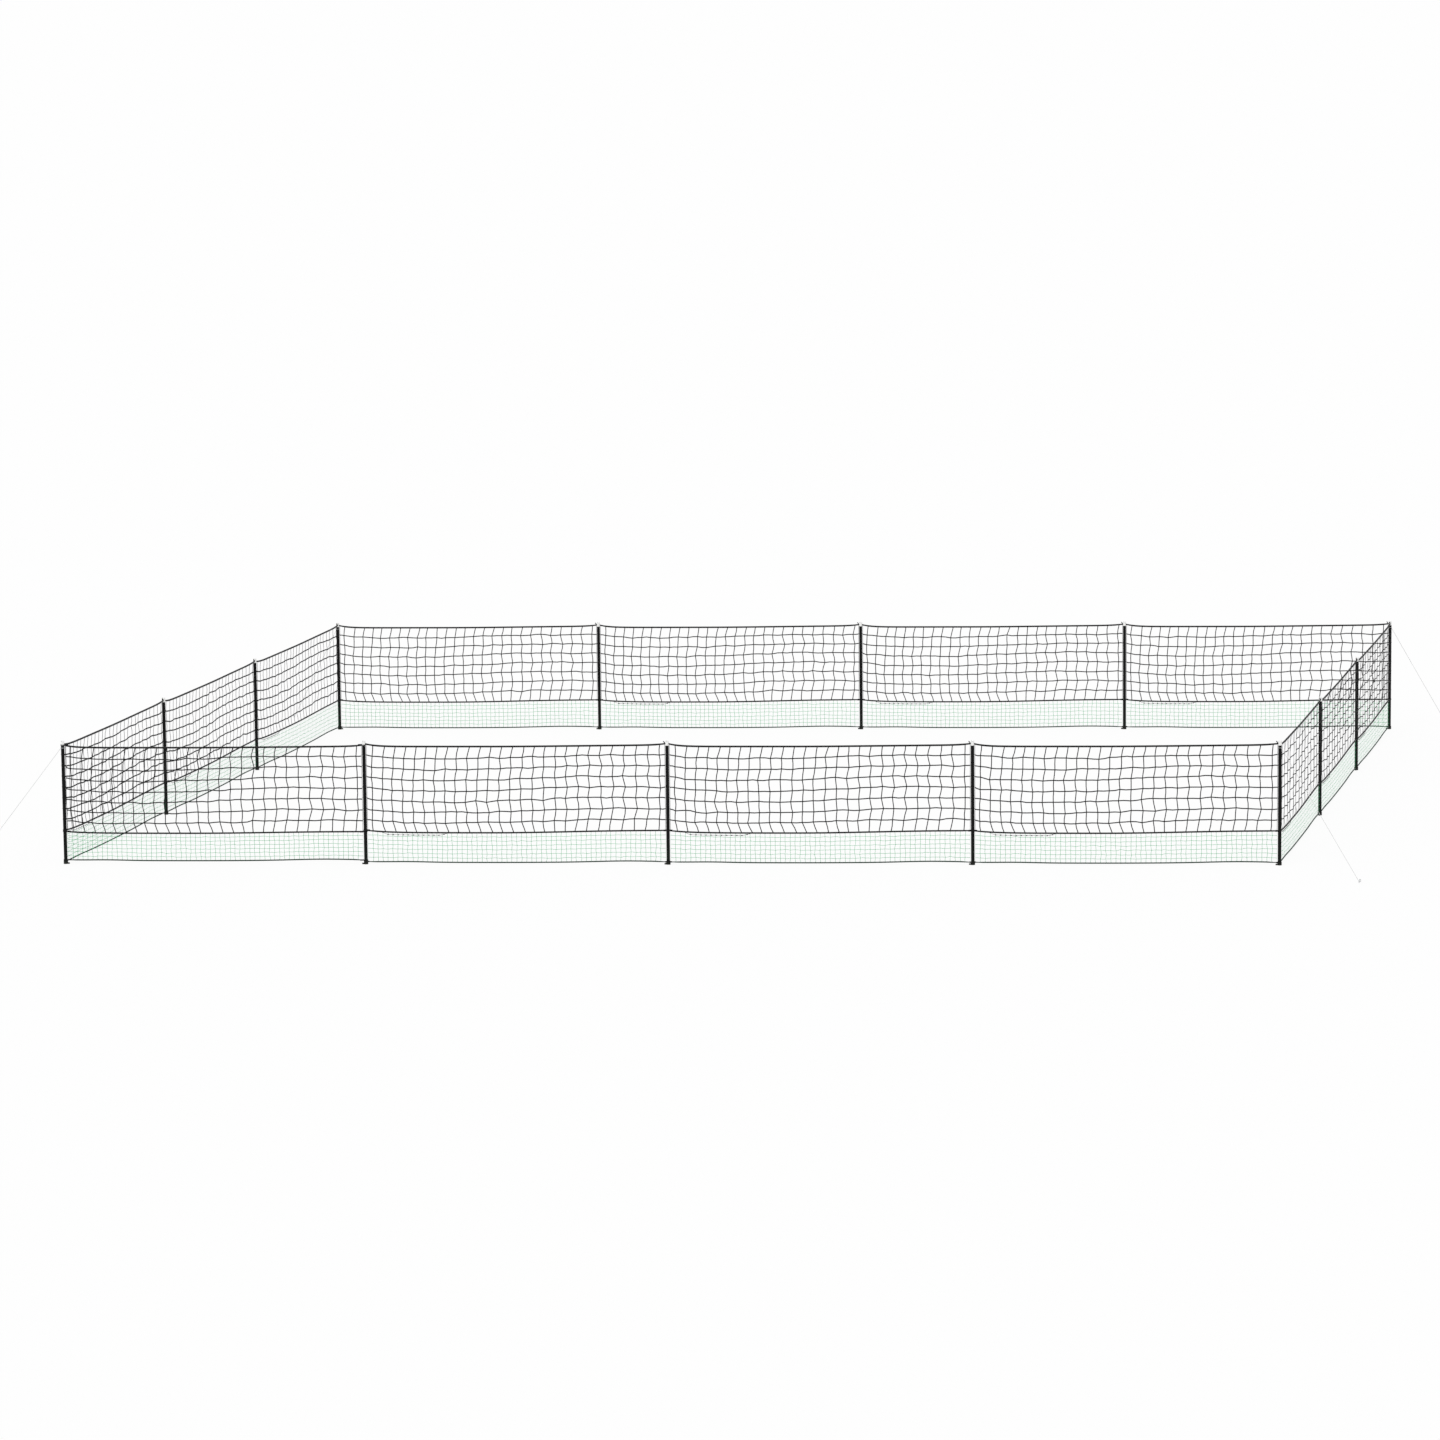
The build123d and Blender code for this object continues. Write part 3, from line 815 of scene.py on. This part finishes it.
def guy_route(run):
    """The line's two ends and its two loops, in a plane where X points from the post to the peg."""
    post_ring = TUBE_RADIUS + FIT_GAP + GUY_RADIUS
    peg_ring = PEG_RADIUS + PEG_LOOP_GAP + GUY_RADIUS
    eye = Vector((run + PEG_LOOP_RISE * sin(PEG_LEAN), 0, PEG_LOOP_RISE * cos(PEG_LEAN)))
    grip = eye + Vector((-peg_ring * cos(PEG_LEAN), 0, peg_ring * sin(PEG_LEAN)))
    fall = atan2(GUY_HEIGHT - grip.z, grip.x - post_ring)
    clear = (GUY_RADIUS + FIT_GAP) * Vector((cos(fall), 0, -sin(fall)))
    return Vector((post_ring, 0, GUY_HEIGHT)) + clear, grip - clear, eye, post_ring, peg_ring


def cord_curve(name, points, radius, material):
    curve = bpy.data.curves.new(name, "CURVE")
    curve.dimensions = "3D"
    curve.bevel_depth = radius
    curve.bevel_resolution = CURVE_ROUND
    spline = curve.splines.new("NURBS")
    spline.points.add(len(points) - 1)
    for target, point in zip(spline.points, points):
        target.co = (*point, 1.0)
    spline.order_u = CURVE_ORDER
    spline.use_endpoint_u = True
    spline.resolution_u = CURVE_STEPS
    curve.use_fill_caps = True
    curve.materials.append(material)
    return link(bpy.data.objects.new(name, curve))


loops = Weave()
for corner, place in CORNERS.items():
    spread = GUY_SPREAD[corner]
    heading = Matrix.Translation((*place, 0)) @ Matrix.Rotation(atan2(spread[1], spread[0]), 4, "Z")
    start, end, eye, post_ring, peg_ring = guy_route(hypot(*spread))
    middle = (start + end) / 2 - Vector((0, 0, GUY_SAG))
    route = [heading @ point for point in (start, middle, end)]
    guy = cord_curve(f"guy_cord_{corner}", route, GUY_RADIUS, GUY_CORD)
    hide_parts(f"guy_line_{corner}")
    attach(guy, "fence")
    up = heading.to_3x3() @ Vector((sin(PEG_LEAN), 0, cos(PEG_LEAN)))
    side = heading.to_3x3() @ Vector((0, 1, 0))
    loops.strand(ring_line((*place, GUY_HEIGHT), post_ring), GUY_RADIUS, GUY_SIDES, UPWARD, closed=True)
    peg_line = ring_line(heading @ eye, peg_ring, side, PEG_LEAN)
    loops.strand(peg_line, GUY_RADIUS, GUY_SIDES, up, closed=True)
loops.piece("guy_end_loops", GUY_CORD, "guy_cord", "fence", "guy_loops")


# Finishes of the CAD pieces
def dress(node, material):
    for material_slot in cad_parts[node].material_slots:
        material_slot.material = material


SHARED_FINISHES = {
    "post_caps": CAP_WHITE,
    "post_boots": BOOT_BLACK,
    "spike_bushes": BOOT_BLACK,
    "rope_clips": CLIP_BLACK,
    "gate_hooks": CLIP_BLACK,
    "gate_eyes": CLIP_BLACK,
    "ground_spikes": SPIKE_STEEL,
}
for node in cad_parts:
    if node.removeprefix("post_").isdigit():
        dress(node, POST_BLACK)
    if node.startswith("peg_"):
        dress(node, PEG_STEEL)
for node, material in SHARED_FINISHES.items():
    dress(node, material)


# Floor and light
FLOOR_SIZE = 4000.0
WORLD_LIGHT = 0.72
SUN_LIGHT = 1.0
SUN_ANGLE = radians(50)
SUN_TURN = (radians(38), radians(-24), 0.0)


def make_floor():
    half = FLOOR_SIZE / 2
    mesh = bpy.data.meshes.new("floor")
    corners = [(-half, -half, 0), (half, -half, 0), (half, half, 0), (-half, half, 0)]
    mesh.from_pydata(corners, [], [(0, 1, 2, 3)])
    mesh.materials.append(FLOOR_WHITE)
    link(bpy.data.objects.new("floor", mesh))


def make_world():
    """Soft white light from all round, and plain white where a look or a reflection passes the floor."""
    world = bpy.data.worlds.new("studio")
    world.use_nodes = True
    bpy.context.scene.world = world
    tree = world.node_tree
    tree.nodes.clear()
    path = tree.nodes.new("ShaderNodeLightPath")
    light = tree.nodes.new("ShaderNodeBackground")
    light.inputs["Strength"].default_value = WORLD_LIGHT
    light.inputs["Color"].default_value = rgb(1.0, 1.0, 1.0)
    seen = tree.nodes.new("ShaderNodeBackground")
    seen.inputs["Color"].default_value = rgb(1.0, 1.0, 1.0)
    direct = path.outputs["Is Camera Ray"]
    for name in ("Is Glossy Ray", "Is Transmission Ray"):
        either = tree.nodes.new("ShaderNodeMath")
        either.operation = "MAXIMUM"
        tree.links.new(direct, either.inputs[0])
        tree.links.new(path.outputs[name], either.inputs[1])
        direct = either.outputs[0]
    choice = tree.nodes.new("ShaderNodeMixShader")
    tree.links.new(direct, choice.inputs[0])
    tree.links.new(light.outputs[0], choice.inputs[1])
    tree.links.new(seen.outputs[0], choice.inputs[2])
    output = tree.nodes.new("ShaderNodeOutputWorld")
    tree.links.new(choice.outputs[0], output.inputs["Surface"])


def make_sun():
    sun = bpy.data.lights.new("softbox", "SUN")
    sun.energy = SUN_LIGHT
    sun.angle = SUN_ANGLE
    obj = link(bpy.data.objects.new("softbox", sun))
    obj.rotation_euler = SUN_TURN


make_floor()
make_world()
make_sun()
